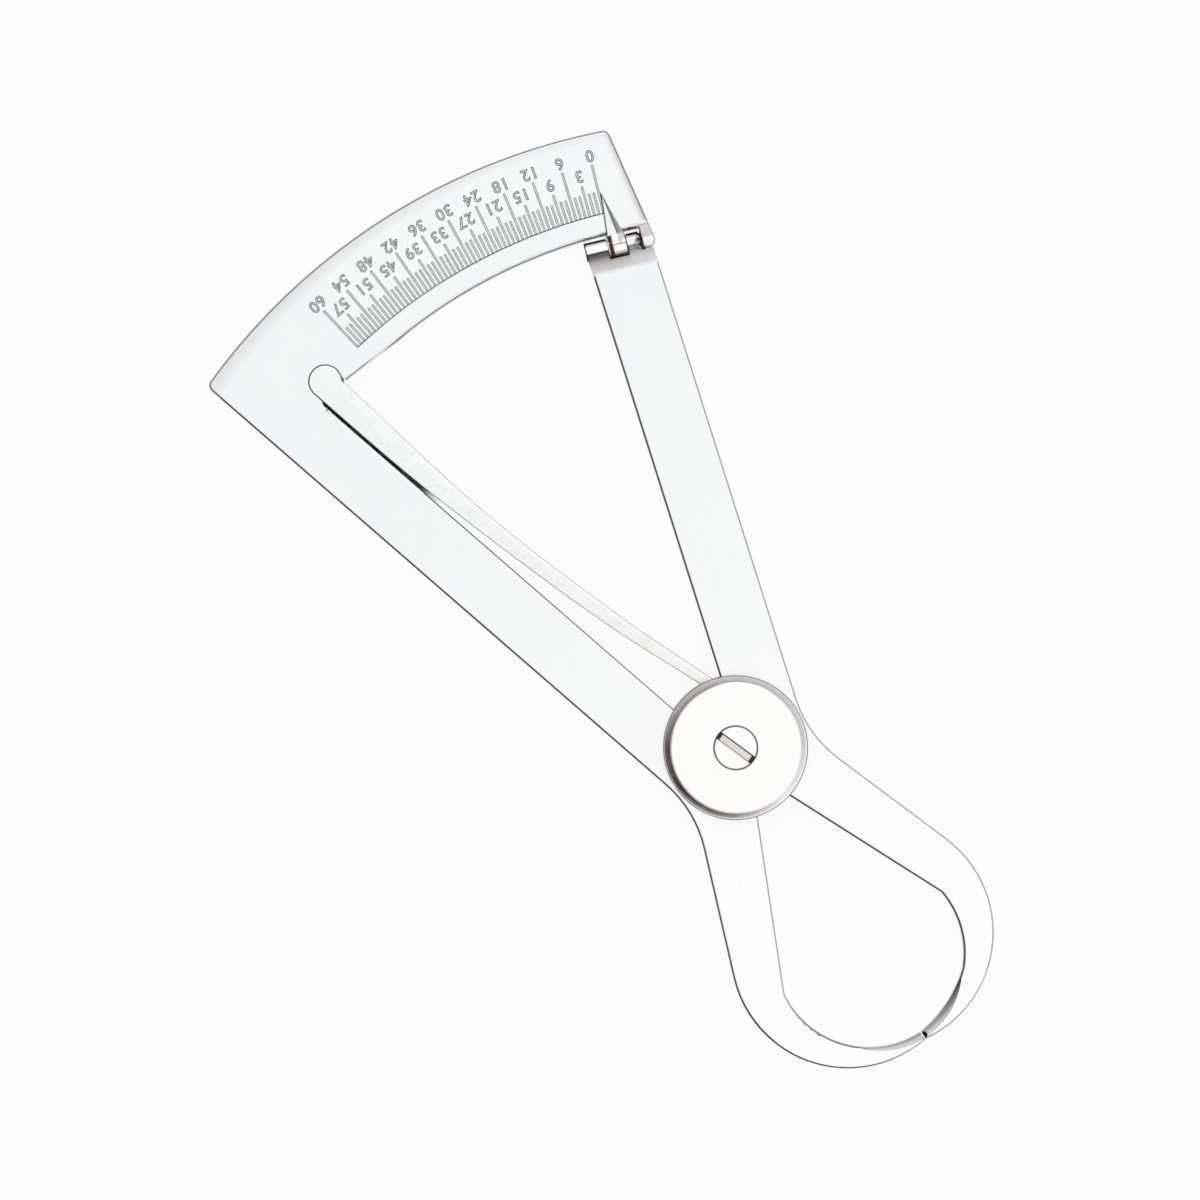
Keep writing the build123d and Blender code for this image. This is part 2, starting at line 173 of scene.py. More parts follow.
def linear(colour):
    """An sRGB hex colour as linear red, green and blue."""
    parts = [int(colour[i:i + 2], 16) / 255 for i in (1, 3, 5)]
    return tuple(c / 12.92 if c <= 0.04045 else ((c + 0.055) / 1.055) ** 2.4 for c in parts)


class GaugeSizes(bpy.types.PropertyGroup):
    """Sizes of the fine work on the gauge."""
    mark_width: FloatProperty(
        name="Mark width", description="Width of a scale mark over its two dark edges",
        default=0.26 * MM, min=0.1 * MM, max=0.4 * MM, unit="LENGTH", precision=5)
    mark_edge: FloatProperty(
        name="Mark edge", description="Width of each dark edge of a scale mark",
        default=0.085 * MM, min=0.02 * MM, max=0.15 * MM, unit="LENGTH", precision=5)
    base_line: FloatProperty(
        name="Base line", description="Width of the arc that the marks stand on",
        default=0.1 * MM, min=0.04 * MM, max=0.3 * MM, unit="LENGTH", precision=5)
    numeral_height: FloatProperty(
        name="Numeral height", description="Height of the scale's numerals",
        default=1.2 * MM, min=0.6 * MM, max=2 * MM, unit="LENGTH", precision=5)
    numeral_line: FloatProperty(
        name="Numeral line", description="Half the width of the line round each numeral's strokes",
        default=0.05 * MM, min=0.01 * MM, max=0.1 * MM, unit="LENGTH", precision=5)
    shoulder: FloatProperty(
        name="Cap shoulder", description="Width of the front cap's rounded shoulder",
        default=0.78 * MM, min=0.3 * MM, max=1.2 * MM, unit="LENGTH", precision=5)
    shoulder_drop: FloatProperty(
        name="Shoulder drop", description="Height of the front cap's rounded shoulder",
        default=0.55 * MM, min=0.2 * MM, max=1 * MM, unit="LENGTH", precision=5)
    screw_edge: FloatProperty(
        name="Screw edge", description="Bevel on the edges of the pivot screw's head",
        default=0.06 * MM, min=0.01 * MM, max=0.15 * MM, unit="LENGTH", precision=5)


class GaugeColours(bpy.types.PropertyGroup):
    """Colours of the gauge's finishes."""
    jaws: FloatVectorProperty(
        name="Jaws", description="Satin nickel at the jaws, rubbed nearly white",
        default=linear("#FDFDFC"), size=3, min=0, max=1, subtype="COLOR")
    sector: FloatVectorProperty(
        name="Sector", description="Satin nickel of the sector, a little cooler",
        default=linear("#F0F5F6"), size=3, min=0, max=1, subtype="COLOR")
    # Painted shade: the colour of the dark line painted along the sheets' rounded edges as their
    # shading
    edges: FloatVectorProperty(
        name="Edges", description="Burnished line along the sheets' rounded edges",
        default=linear("#221D1D"), size=3, min=0, max=1, subtype="COLOR")
    polish: FloatVectorProperty(
        name="Polish", description="Polished nickel of the caps, the screw and the pointer",
        default=linear("#FDFCFB"), size=3, min=0, max=1, subtype="COLOR")
    spring: FloatVectorProperty(
        name="Spring", description="Matt steel of the return spring",
        default=linear("#F1F6F5"), size=3, min=0, max=1, subtype="COLOR")
    # Painted shade: the dark grey that stands for the shade of the cut walls of the numerals and
    # marks
    engraving: FloatVectorProperty(
        name="Engraving", description="Blackening in the engraved numerals and marks",
        default=linear("#5A5F5E"), size=3, min=0, max=1, subtype="COLOR")
    steel: FloatVectorProperty(
        name="Steel", description="Bright turned steel of the hidden hub parts",
        default=linear("#C9C8C6"), size=3, min=0, max=1, subtype="COLOR")
    # Painted shade: the dark brown painted where shadow falls at the hinge's ends and sides and
    # the slot's ends
    oil: FloatVectorProperty(
        name="Oil", description="Old oil that has dried brown in the corners",
        default=linear("#46302F"), size=3, min=0, max=1, subtype="COLOR")


class StageSettings(bpy.types.PropertyGroup):
    """Light and floor."""
    world_strength: FloatProperty(
        name="World strength", description="Strength of the even light from all round",
        default=0.9, min=0, max=2)
    key_power: FloatProperty(
        name="Key power", description="Power of the large soft lamp",
        default=0.35, min=0, max=10, unit="POWER")
    floor_shadow: FloatProperty(
        name="Floor shadow", description="How much of the object's shadow the floor keeps",
        default=0.12, min=0, max=1, subtype="FACTOR")
    curtain: BoolProperty(
        name="Curtain",
        description="Hang a low graded curtain round the set, for polished shoulders to reflect",
        default=True)


def feed(tree, node, inputs):
    """Links or sets a node's inputs."""
    for name, value in inputs.items():
        if isinstance(value, bpy.types.NodeSocket):
            tree.links.new(value, node.inputs[name])
        else:
            node.inputs[name].default_value = value


def add(tree, kind, inputs=None, stops=(), **settings):
    """Adds a node with its settings, its ramp's stops and its inputs."""
    node = tree.nodes.new(kind)
    for name, value in settings.items():
        setattr(node, name, value)
    if stops:
        elements = node.color_ramp.elements
        elements[0].position = stops[0][0]
        elements[-1].position = stops[-1][0]
        for position, _ in stops[1:-1]:
            elements.new(position)
        for element, (position, value) in zip(elements, stops):
            element.color = rgba(value) if isinstance(value, str) else (value, value, value, 1)
    feed(tree, node, inputs or {})
    return node


def rgba(colour):
    """An opaque linear colour, from an sRGB hex colour or from linear numbers."""
    return (*(linear(colour) if isinstance(colour, str) else colour), 1.0)


def new_material(name):
    """A material with its Principled shader, and the coordinates of its surface."""
    material = bpy.data.materials.new(name)
    material.use_nodes = True
    tree = material.node_tree
    return material, tree, tree.nodes["Principled BSDF"], add(tree, "ShaderNodeTexCoord")


def graded(tree, value, *stops):
    """An amount or a colour that changes between stops of a measured value."""
    low, high = stops[0][0], stops[-1][0]
    share = add(tree, "ShaderNodeMapRange", {"Value": value, "From Min": low, "From Max": high})
    ramp = add(tree, "ShaderNodeValToRGB", {"Fac": share.outputs["Result"]},
               stops=[((at - low) / (high - low), what) for at, what in stops])
    return ramp.outputs["Color"]


def where_all(tree, *amounts, operation="MULTIPLY"):
    """The product of several amounts: full only where all of them are."""
    amount = amounts[0]
    for other in amounts[1:]:
        amount = add(tree, "ShaderNodeMath", {0: amount, 1: other}, operation=operation).outputs[0]
    return amount


def where_any(tree, *amounts):
    """The largest of several amounts: full where any of them is."""
    return where_all(tree, *amounts, operation="MAXIMUM")


def layered(tree, tone, *layers):
    """Lays colours over a tone in turn, each by its own amount."""
    for amount, colour in layers:
        over = colour if isinstance(colour, bpy.types.NodeSocket) else rgba(colour)
        tone = add(tree, "ShaderNodeMix", {0: amount, MIX_BELOW: tone, MIX_ABOVE: over},
                   data_type="RGBA").outputs[MIX_RESULT]
    return tone


def measured(tree, place, centre, turn=0.0):
    """The surface's coordinates in millimetres, from a centre and along a turned +X axis."""
    return add(tree, "ShaderNodeMapping", {
        "Vector": place.outputs["Object"], "Location": centre, "Rotation": (0, 0, radians(turn)),
        "Scale": (MM, MM, 1),
    }, vector_type="TEXTURE").outputs["Vector"]


def from_place(tree, place, centre, turn=0.0):
    """How far the surface lies to the right of a place and beyond it, in millimetres."""
    split = add(tree, "ShaderNodeSeparateXYZ", {"Vector": measured(tree, place, centre, turn)})
    return split.outputs["X"], split.outputs["Y"]


def reach_from(tree, place, centre):
    """How far the surface lies from a place, in millimetres."""
    return add(tree, "ShaderNodeVectorMath", {0: measured(tree, place, centre)},
               operation="LENGTH").outputs["Value"]


def facing(tree, place, turn=None):
    """How far the surface faces the front, or faces a direction in the plates' plane."""
    towards = (0, 0, 1) if turn is None else (cos(radians(turn)), sin(radians(turn)), 0)
    return add(tree, "ShaderNodeVectorMath", {0: place.outputs["Normal"], 1: towards},
               operation="DOT_PRODUCT").outputs["Value"]


def mottling(tree, place, size, low, high, detail=3.0, turn=0.0, stretch=1.0):
    """Patches of about a size, between two levels of noise, drawn out along a direction."""
    turned = add(tree, "ShaderNodeMapping", {
        "Vector": place.outputs["Object"], "Rotation": (0, 0, radians(turn)),
        "Scale": (stretch, 1, 1),
    }, vector_type="TEXTURE")
    noise = add(tree, "ShaderNodeTexNoise", {
        "Vector": turned.outputs["Vector"], "Scale": 1 / size, "Detail": detail,
    })
    return graded(tree, noise.outputs["Fac"], (low, 0.0), (high, 1.0))


def nickelled_sheet(tree, shader, place, unshaded_edge, dulled, *layers):
    """Satin nickel on rolled sheet, with painted shade on its rounded edge except where unshaded,
    under any layers given.
    """
    colours = bpy.context.scene.gauge_colours
    to_front = facing(tree, place)
    to_shaded_side = facing(tree, place, SHADED_SIDE_ANGLE)
    _, along = from_place(tree, place, BOW_CENTRE)
    reach = reach_from(tree, place, BOW_CENTRE)
    up_the_arm = graded(tree, along, (12.0, 0.0), (62.0, 1.0))
    tone = layered(tree, rgba(colours.jaws), (up_the_arm, colours.sector))
    # Clouds from the plating bath, and brushing lines. The real lines are about 0.02 mm wide, and
    # are drawn at 0.1 mm so that they show.
    clouds = where_all(tree, mottling(tree, place, 5 * MM, 0.4, 0.75), up_the_arm)
    lines = mottling(tree, place, 0.1 * MM, 0.45, 0.8, detail=2.0, turn=BRUSHED_ANGLE,
                     stretch=30.0)
    faint_lines = where_all(tree, lines, graded(tree, to_front, (0.9, 0.0), (1.0, 0.05)))
    tone = layered(tree, tone, (clouds, "#F6F7F6"), (faint_lines, "#A9AEAE"))
    # Painted shade along the rounded edges, darkest and widest on the shaded side, with a softer
    # brownish painted shade inside the edge on that side
    edge = graded(tree, to_front, (-0.6, 0.0), (-0.2, 0.4), (0.12, 0.4), (0.3, 1.0), (0.8, 1.0),
                  (0.94, 0.0))
    side = graded(tree, to_shaded_side, (-0.4, 0.55), (0.2, 0.62), (0.9, 1.0))
    soft_side_shade = where_all(
        tree, graded(tree, to_front, (0.6, 0.0), (0.8, 0.9), (0.93, 0.6), (0.997, 0.0)),
        graded(tree, to_shaded_side, (0.05, 0.0), (0.3, 1.0)))
    # Towards the jaws' tips the painted edge shade gives way to a painted highlight along the
    # rounding's outer part, which widens from the tips
    across_rounding = add(tree, "ShaderNodeMath", {0: along, 1: HIGHLIGHT_EDGE_SLOPE, 2: reach},
                          operation="MULTIPLY_ADD").outputs[0]
    rounding_highlight = graded(tree, across_rounding, (8.5, 0.85), (9.1, 0.85), (9.22, 0.22),
                             (9.55, 0.22), (9.63, 1.0))
    at_tips = graded(tree, along, (-7.2, 1.0), (-6.0, 0.0))
    highlight_pattern = layered(tree, rgba("#FFFFFF"), (at_tips, rounding_highlight))
    # Painted shade on the bow's inner edge, a dark line that thickens towards the tips
    bow_edge_shade = where_all(
        tree, graded(tree, to_front, (0.0, 0.0), (0.3, 1.0), (0.88, 0.9), (0.97, 0.0)),
        graded(tree, along, (-8.0, 0.0), (-7.2, 0.75), (1.0, 0.0)),
        graded(tree, reach, (9.75, 1.0), (9.95, 0.0)))
    kept = add(tree, "ShaderNodeMath", {0: 1.0, 1: unshaded_edge}, operation="SUBTRACT").outputs[0]
    tone = layered(tree, tone, (where_all(tree, soft_side_shade, kept), "#6E5E5C"), (bow_edge_shade, "#4A4646"),
                   (where_all(tree, edge, side, highlight_pattern, kept), colours.edges), *layers)
    roughness = layered(tree, graded(tree, lines, (0.0, 0.27), (1.0, 0.34)),
                        (dulled, (0.8, 0.8, 0.8)))
    bump = add(tree, "ShaderNodeBump", {"Height": lines, "Strength": 0.05, "Distance": 0.01 * MM})
    feed(tree, shader, {"Base Color": tone, "Metallic": 1.0, "Roughness": roughness,
                        "Normal": bump.outputs["Normal"]})


def satin_nickel_scale_plate():
    # Satin nickel plate on rolled steel: bright, nearly white and softly clouded. The stop beside
    # the hinge is painted with pinkish shade bands and a white highlight line, as the shading of
    # its curved surface. The walls of the slit beside the spring are painted near-black as shadow.
    colours = bpy.context.scene.gauge_colours
    material, tree, shader, place = new_material("satin_nickel_scale_plate")
    to_front = facing(tree, place)
    right, beyond = from_place(tree, place, HINGE, HINGE_TURN)
    # Painted shade and a painted highlight line on the stop
    on_stop = graded(tree, right, (1.2, 0.0), (1.75, 1.0))
    stop_shading = graded(tree, beyond, (-1.6, 0.0), (-1.3, 0.5), (0.2, 0.5), (0.32, 0.9), (1.6, 0.9),
                    (1.72, 0.0))
    stop_shade_and_highlight = graded(tree, beyond, (-1.2, "#DDD0D4"), (0.1, "#F6ECEE"), (0.22, "#B5A9AC"),
                          (0.36, "#CDC4C6"), (1.36, "#D3CCCB"), (1.46, "#8F8888"),
                          (1.54, "#FFFFFF"), (1.64, "#C9C7C7"))
    right_of_slit, along_slit = from_place(tree, place, SLIT, SLIT_TURN)
    at_slit = where_all(
        tree, graded(tree, right_of_slit, (-1.0, 0.0), (-0.9, 1.0), (0.9, 1.0), (1.0, 0.0)),
        graded(tree, along_slit, (-7.0, 0.0), (-6.0, 1.0), (7.4, 1.0), (7.6, 0.0)))
    # Painted shadow: the slit's walls painted near-black
    slit_wall_shadow = where_all(tree, at_slit, graded(tree, to_front, (0.2, 1.0), (0.4, 0.0)))
    # At the sector's lower edge a thin painted shade line is drawn by radius in place of the edge
    # shade, and the rounding below it is made rough
    right_of_pivot, _ = from_place(tree, place, PIVOT)
    radius = reach_from(tree, place, PIVOT)
    at_arc = where_all(
        tree, graded(tree, right_of_pivot, (-16.0, 0.0), (-15.9, 1.0)),
        graded(tree, right, (1.3, 1.0), (1.5, 0.0)),
        graded(tree, radius, (SECTOR_EDGE - 0.5, 0.0), (SECTOR_EDGE - 0.4, 1.0),
               (SECTOR_EDGE + 0.3, 1.0), (SECTOR_EDGE + 0.4, 0.0)))
    arc_shade_line = where_all(tree, at_arc, graded(
        tree, radius, (SECTOR_EDGE, 0.0), (SECTOR_EDGE + 0.02, 0.7), (SECTOR_EDGE + 0.08, 0.7),
        (SECTOR_EDGE + 0.16, 0.0)))
    # Painted shade darkens the sector's right end towards its edge
    to_end = add(tree, "ShaderNodeMath", {0: beyond, 1: SECTOR_END_SLOPE, 2: right},
                 operation="MULTIPLY_ADD").outputs[0]
    end_shade = where_all(
        tree, graded(tree, to_end, (2.8, 0.0), (3.15, 0.15), (3.45, 0.55), (4.0, 0.8)),
        graded(tree, beyond, (1.7, 0.0), (1.9, 1.0), (9.0, 0.8), (12.0, 0.5)))
    # Painted shade greys the sector towards its outer rim, and the rounding of the rim and of the
    # right end
    rim_shade = graded(tree, radius, (62.2, 0.0), (63.3, 0.3))
    right_end = where_all(tree, graded(tree, beyond, (1.7, 0.0), (1.9, 1.0)),
                          graded(tree, to_end, (2.0, 0.0), (2.4, 1.0)))
    rim_rounding_shade = where_all(
        tree, where_any(tree, graded(tree, radius, (62.0, 0.0), (62.4, 1.0)), right_end),
        graded(tree, to_front, (0.2, 0.0), (0.5, 0.7), (0.93, 0.6), (0.997, 0.0)))
    nickelled_sheet(tree, shader, place, where_any(tree, at_slit, at_arc), at_arc,
                    (rim_shade, "#B4B4B5"), (end_shade, "#B5AAAB"), (rim_rounding_shade, "#8C8687"),
                    (where_all(tree, on_stop, stop_shading), stop_shade_and_highlight), (arc_shade_line, colours.edges),
                    (slit_wall_shadow, "#0A0909"))
    return material


def satin_nickel_pointer_arm():
    # The same satin nickel plate. Its barrels carry a painted highlight, the valley under them
    # painted shade, their right end, upper edge and the arm's left side dark painted shade, and a
    # black spot of painted shade lies where the jaws' tips meet.
    colours = bpy.context.scene.gauge_colours
    material, tree, shader, place = new_material("satin_nickel_pointer_arm")
    right, beyond = from_place(tree, place, HINGE, HINGE_TURN)
    left_part = graded(tree, right, (0.9, 1.0), (1.15, 0.62))
    valley = where_all(tree, left_part, graded(
        tree, beyond, (-2.4, 0.0), (-2.0, 0.8), (-1.2, 0.9), (-0.34, 1.0), (-0.24, 0.0)))
    # Painted shade in the valley under the barrels
    valley_painted_shade = graded(tree, beyond, (-2.1, "#ECEBEA"), (-1.8, "#DDDAD8"), (-1.2, "#C3BEBA"),
                          (-0.85, "#9A9592"), (-0.6, "#7D7876"), (-0.36, "#5A5351"))
    folded = graded(tree, beyond, (-2.65, 0.0), (-2.5, 1.0), (-0.3, 1.0), (-0.2, 0.0))
    # Painted shade: a black spot where the jaws' tips meet
    tip_meeting_shade = graded(tree, reach_from(tree, place, JAW_TIP), (0.24, 1.0), (0.36, 0.0))
    # Painted highlight: the barrels painted white and cream
    highlight_pattern = graded(tree, beyond, (-0.26, 0.0), (-0.2, 0.9), (0.6, 0.9), (0.7, 0.0))
    barrel_highlight_tone = graded(tree, right, (0.9, "#FFFEFD"), (1.2, "#FFFBEC"))
    # Painted shadow, mottled, at the barrels' right end
    oil = where_all(tree, graded(tree, right, (1.45, 0.0), (2.1, 1.0)),
                    graded(tree, beyond, (-1.0, 0.0), (-0.6, 1.0), (0.9, 1.0), (1.1, 0.0)),
                    mottling(tree, place, 0.5 * MM, 0.35, 0.5))
    # Painted shade line along the barrels' upper edge
    upper_edge_shade = where_all(tree, graded(tree, beyond, (0.62, 0.0), (0.68, 0.85)),
                           graded(tree, facing(tree, place), (0.0, 0.0), (0.1, 1.0)))
    # Painted shade line along the arm's left side and the left barrel's end
    left_side_shade = where_all(tree, graded(tree, right, (-3.45, 0.9), (-3.2, 0.9), (-3.08, 0.0)),
                          graded(tree, beyond, (-1.6, 0.0), (-1.0, 1.0), (0.7, 1.0), (0.8, 0.0)))
    nickelled_sheet(tree, shader, place, folded, folded, (valley, valley_painted_shade),
                    (highlight_pattern, barrel_highlight_tone), (upper_edge_shade, "#3A3232"), (left_side_shade, colours.oil),
                    (oil, colours.oil), (tip_meeting_shade, "#1A0D0D"))
    return material


def polished_nickel(tree, shader, place, *layers):
    """Polished nickel with a slight haze and a painted shade line round its rim, under any layers
    given.
    """
    colours = bpy.context.scene.gauge_colours
    to_front = facing(tree, place)
    haze = mottling(tree, place, 1.5 * MM, 0.5, 0.85, detail=5.0)
    light_haze = where_all(tree, haze, graded(tree, to_front, (0.9, 0.0), (1.0, 0.25)))
    # Painted shade line on the rounded rim
    rim = graded(tree, to_front, (-0.6, 0.0), (-0.2, 0.3), (0.05, 0.3), (0.14, 0.9), (0.64, 0.9),
                 (0.78, 0.0))
    tone = layered(tree, rgba(colours.polish), (light_haze, "#EFEDEA"), (rim, "#3F3535"), *layers)
    feed(tree, shader, {"Base Color": tone, "Metallic": 1.0,
                        "Roughness": graded(tree, haze, (0.0, 0.12), (1.0, 0.22))})


def polished_nickel_cap():
    # Polished nickel plate on the turned caps: a clear white mirror, faintly hazed by handling,
    # with a painted shade line at the shoulder's upper edge that fades to the right.
    material, tree, shader, place = new_material("polished_nickel_cap")
    leftward, _ = from_place(tree, place, PIVOT, CAP_SHADED_SIDE_ANGLE)
    # Painted shade line at the shoulder's upper edge, darkest on one side and fading to the other
    line = graded(tree, facing(tree, place), (0.81, 0.0), (0.86, 0.8), (0.95, 0.6), (0.995, 0.0))
    fading = graded(tree, leftward, (-4.0, 0.1), (4.0, 1.0))
    polished_nickel(tree, shader, place, (where_all(tree, line, fading), "#5A5050"))
    return material


def polished_nickel_screw():
    # Polished nickel screw: white on its face. Painted shade darkens the gap round its edge, both
    # sides of its slot, the slot's floor and the slot's two ends.
    colours = bpy.context.scene.gauge_colours
    material, tree, shader, place = new_material("polished_nickel_screw")
    along, across = from_place(tree, place, PIVOT, SCREW_SLOT_TURN)
    # Painted shade: a dark ring for the gap round the head
    edge = graded(tree, reach_from(tree, place, PIVOT), (2.04, 0.0), (2.09, 0.9), (2.3, 0.9))
    height = add(tree, "ShaderNodeSeparateXYZ", {"Vector": place.outputs["Object"]}).outputs["Z"]
    # Painted shade: the slot's floor painted light grey
    in_slot = graded(tree, height, (CAP_FRONT - 0.3 * MM, 1.0), (CAP_FRONT - 0.2 * MM, 0.0))
    from_middle = add(tree, "ShaderNodeMath", {0: along}, operation="ABSOLUTE").outputs[0]
    # Painted shadow in the slot's two ends
    ends = where_all(tree, in_slot, graded(tree, from_middle, (1.72, 0.0), (1.84, 1.0)))
    # Painted shade along both sides of the slot, darker on the upper side
    upper = graded(tree, across, (0.27, 0.0), (0.31, 1.0), (0.4, 1.0), (0.46, 0.0))
    lower = graded(tree, across, (-0.44, 0.0), (-0.4, 0.8), (-0.33, 0.8), (-0.28, 0.0))
    polished_nickel(tree, shader, place, (in_slot, "#DEDAD8"), (lower, "#8E8888"),
                    (upper, "#4A4444"), (edge, "#5E5A5A"), (ends, colours.oil))
    return material


def polished_nickel_pointer():
    # Polished nickel pointer: the left facet is bright, the right one is painted grey as shade,
    # and a painted shadow line runs along the left edge. The knuckle is white in its middle, with
    # painted brown shade at its left side, a painted shade line at its right and a painted
    # reflection line along it.
    colours = bpy.context.scene.gauge_colours
    material, tree, shader, place = new_material("polished_nickel_pointer")
    right, beyond = from_place(tree, place, HINGE, HINGE_TURN)
    right_of_edge, _ = from_place(tree, place, NEEDLE_EDGE, NEEDLE_EDGE_TURN)
    right_of_ridge, _ = from_place(tree, place, NEEDLE_RIDGE, NEEDLE_RIDGE_TURN)
    on_needle = graded(tree, beyond, (1.08, 0.0), (1.18, 1.0))
    on_knuckle = graded(tree, beyond, (1.02, 1.0), (1.12, 0.0))
    left_edge_shadow = where_all(tree, on_needle, graded(tree, right_of_edge, (-0.2, 1.0), (0.08, 1.0),
                                                  (0.15, 0.0)))
    right_facet = where_all(tree, on_needle, graded(tree, facing(tree, place, HINGE_TURN),
                                                    (0.2, 0.0), (0.4, 1.0)))
    right_facet_painted_shade = graded(tree, right_of_ridge, (0.0, "#757575"), (0.12, "#A2A2A2"),
                         (0.38, "#CACACA"), (0.6, "#E0E0E0"))
    # Painted shade: brown at the knuckle's left side
    brown = where_all(tree, on_knuckle, graded(
        tree, right, (-0.94, 0.25), (-0.88, 0.25), (-0.82, 1.0), (-0.5, 1.0), (-0.34, 0.0)))
    knuckle_reflection_line = where_all(tree, graded(tree, right, (-0.5, 0.0), (-0.4, 1.0)),
                     graded(tree, beyond, (-0.04, 0.0), (0.02, 0.75), (0.08, 0.75), (0.14, 0.0)))
    knuckle_right_shade = where_all(tree, on_knuckle, graded(tree, right, (0.82, 0.0), (0.88, 0.9)))
    polished_nickel(tree, shader, place, (on_needle, "#EEF2F2"), (right_facet, right_facet_painted_shade),
                    (left_edge_shadow, "#383636"), (knuckle_reflection_line, "#8A8080"), (brown, colours.oil),
                    (knuckle_right_shade, "#3C3434"))
    return material


def tumbled_spring_steel():
    # Tempered spring steel, tumbled and left matt: pale with small dull specks, with smudges that
    # deepen towards the hub, and a straw tint near the hub from the tempering.
    colours = bpy.context.scene.gauge_colours
    material, tree, shader, place = new_material("tumbled_spring_steel")
    to_front = facing(tree, place)
    _, along = from_place(tree, place, PIVOT, SPRING_RUN_ANGLE - 90)
    specks = mottling(tree, place, 0.4 * MM, 0.56, 0.7, detail=4.0)
    faint_specks = where_all(tree, specks, graded(tree, to_front, (0.9, 0.0), (1.0, 0.15)))
    smudges = where_all(tree, mottling(tree, place, 1.6 * MM, 0.5, 0.8),
                        graded(tree, along, (20.0, 0.4), (50.0, 0.2)))
    straw = graded(tree, along, (8.0, 0.7), (16.0, 0.3), (34.0, 0.0))
    # Painted shade: a dark line on the blade's rounded edges
    edge = graded(tree, to_front, (-0.6, 0.0), (-0.2, 0.45), (0.12, 0.45), (0.35, 0.75),
                  (0.7, 0.6), (0.92, 0.0))
    tone = layered(tree, rgba(colours.spring), (straw, "#F8F3EA"), (smudges, "#DEDCD8"),
                   (faint_specks, "#8E8A84"), (edge, "#6F6866"))
    pits = add(tree, "ShaderNodeBump", {"Height": specks, "Strength": 0.2, "Distance": 0.02 * MM},
               invert=True)
    feed(tree, shader, {"Base Color": tone, "Metallic": 1.0, "Roughness": 0.4,
                        "Normal": pits.outputs["Normal"]})
    return material


def blackened_engraving():
    # A cut line's dark grey and matt painted shade of its sloped walls, lighter in places.
    colours = bpy.context.scene.gauge_colours
    material, tree, shader, place = new_material("blackened_engraving")
    patches = mottling(tree, place, 0.4 * MM, 0.4, 0.8, detail=2.0)
    worn = graded(tree, patches, (0.0, 0.0), (1.0, 0.6))
    tone = layered(tree, rgba(colours.engraving), (worn, "#969B9A"))
    feed(tree, shader, {"Base Color": tone, "Roughness": 0.7})
    return material


def worn_mark_floor():
    # The middle of an engraved mark: the cut's grey nickel floor between the painted shade of its
    # walls.
    material, tree, shader, place = new_material("worn_mark_floor")
    streaks = mottling(tree, place, 0.2 * MM, 0.3, 0.7, detail=2.0)
    tone = layered(tree, rgba("#DFE5E3"), (streaks, "#B2B9B6"))
    feed(tree, shader, {"Base Color": tone, "Metallic": 0.6, "Roughness": 0.5})
    return material


def bright_turned_steel():
    # Bright turned steel of the hub's hidden parts: fine rings about the pivot. The real rings are
    # about 0.1 mm apart, and are drawn 0.5 mm apart so that they show.
    colours = bpy.context.scene.gauge_colours
    material, tree, shader, place = new_material("bright_turned_steel")
    rings = add(tree, "ShaderNodeTexWave", {
        "Vector": place.outputs["Object"], "Scale": 1 / (1.5 * MM), "Distortion": 0.4,
        "Detail": 1.0,
    }, wave_type="RINGS", rings_direction="Z")
    tone = layered(tree, rgba(colours.steel), (rings.outputs["Fac"], "#B5B3B0"))
    feed(tree, shader, {"Base Color": tone, "Metallic": 1.0, "Roughness": 0.3})
    return material


def dress(piece, *finishes):
    """Gives a piece its materials, in order, each made on its first use."""
    slots = piece.data.materials
    for index, make in enumerate(finishes):
        material = bpy.data.materials.get(make.__name__) or make()
        if index < len(slots):
            slots[index] = material
        else:
            slots.append(material)


def finished(name, shape, body, smooth_angle=0.0):
    """Turns a bmesh into a named piece in place, riding on a body, or on none yet."""
    mesh = bpy.data.meshes.new(name)
    bmesh.ops.recalc_face_normals(shape, faces=shape.faces)
    shape.to_mesh(mesh)
    shape.free()
    piece = bpy.data.objects.new(name, mesh)
    bpy.context.scene.collection.objects.link(piece)
    if smooth_angle:
        mesh.shade_smooth()
        mesh.set_sharp_from_angle(angle=radians(smooth_angle))
    if body:
        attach(piece, body)
    return piece


def merged_copy(node):
    """A CAD node's shape as a bmesh, its loose triangles joined."""
    shape = bmesh.new()
    shape.from_mesh(NODES[node].data)
    bmesh.ops.remove_doubles(shape, verts=shape.verts, dist=MERGE_DISTANCE)
    return shape


class GAUGE_OT_cad_finishes(bpy.types.Operator):
    """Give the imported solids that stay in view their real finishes"""
    bl_idname = "gauge.cad_finishes"
    bl_label = "Finish the solids"

    def execute(self, context):
        finishes = {
            satin_nickel_scale_plate: ("scale_plate",),
            satin_nickel_pointer_arm: ("pointer_arm",),
            polished_nickel_pointer: ("pointer",),
            polished_nickel_cap: ("rear_cap",),
            bright_turned_steel: ("pointer_pin", "pivot_post", "front_washer", "lap_washer",
                                  "rear_shim", "cap_pins"),
        }
        for make, names in finishes.items():
            for name in names:
                dress(NODES[name], make)
        return {"FINISHED"}


